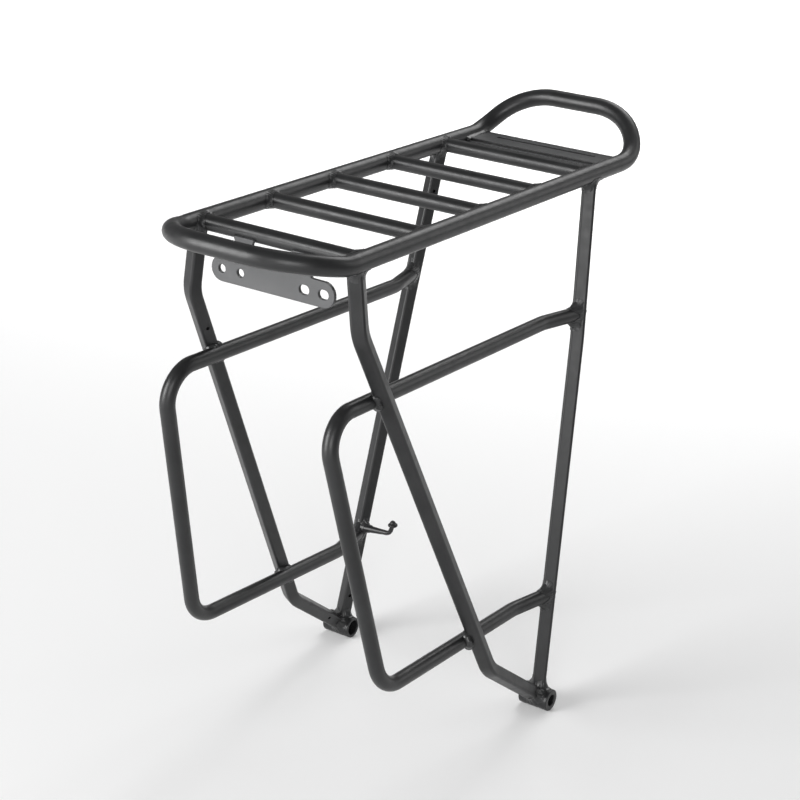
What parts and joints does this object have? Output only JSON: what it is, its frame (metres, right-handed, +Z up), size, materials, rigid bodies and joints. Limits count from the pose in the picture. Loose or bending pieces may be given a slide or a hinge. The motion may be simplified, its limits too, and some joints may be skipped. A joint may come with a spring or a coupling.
{
  "type": "bicycle rear pannier rack",
  "caption": "Welded tube rack over a bicycle's rear wheel, with crossbars, side hoops, folded carrying loop, lamp plate and bolt-on feet.",
  "frame": {"origin": "middle of the front face of the upright fixing plate, where a bracket from the bicycle's seat stays bears on it", "axes": "+Z up, -Y towards the front of the bicycle, +X the bicycle's left side"},
  "size_m": [0.1938, 0.4108, 0.4012],
  "materials": {
    "frame_coat": "matt charcoal powder coat over bent aluminium tube",
    "weld_beads": "the same powder coat over lumpy aluminium weld beads"
  },
  "bodies": {
    "root": {"top_hoop": "frame_coat", "crossbar_1": "frame_coat", "weld_crossbar_1_left": "weld_beads", "weld_crossbar_1_right": "weld_beads", "crossbar_2": "frame_coat", "weld_crossbar_2_left": "weld_beads", "weld_crossbar_2_right": "weld_beads", "crossbar_3": "frame_coat", "weld_crossbar_3_left": "weld_beads", "weld_crossbar_3_right": "weld_beads", "crossbar_4": "frame_coat", "weld_crossbar_4_left": "weld_beads", "weld_crossbar_4_right": "weld_beads", "crossbar_5": "frame_coat", "weld_crossbar_5_left": "weld_beads", "weld_crossbar_5_right": "weld_beads", "front_plate": "frame_coat", "lamp_plate": "frame_coat", "cord_hook": "frame_coat", "front_leg_left": "frame_coat", "rear_leg_left": "frame_coat", "side_hoop_left": "frame_coat", "foot_boss_left": "frame_coat", "weld_front_leg_top_left": "weld_beads", "weld_rear_leg_top_left": "weld_beads", "weld_upper_crossing_left": "weld_beads", "weld_lower_crossing_left": "weld_beads", "weld_upper_hoop_end_left": "weld_beads", "weld_lower_hoop_end_left": "weld_beads", "weld_foot_left": "weld_beads", "front_leg_right": "frame_coat", "rear_leg_right": "frame_coat", "side_hoop_right": "frame_coat", "foot_boss_right": "frame_coat", "weld_front_leg_top_right": "weld_beads", "weld_rear_leg_top_right": "weld_beads", "weld_upper_crossing_right": "weld_beads", "weld_lower_crossing_right": "weld_beads", "weld_upper_hoop_end_right": "weld_beads", "weld_lower_hoop_end_right": "weld_beads", "weld_foot_right": "weld_beads"}
  },
  "joints": []
}
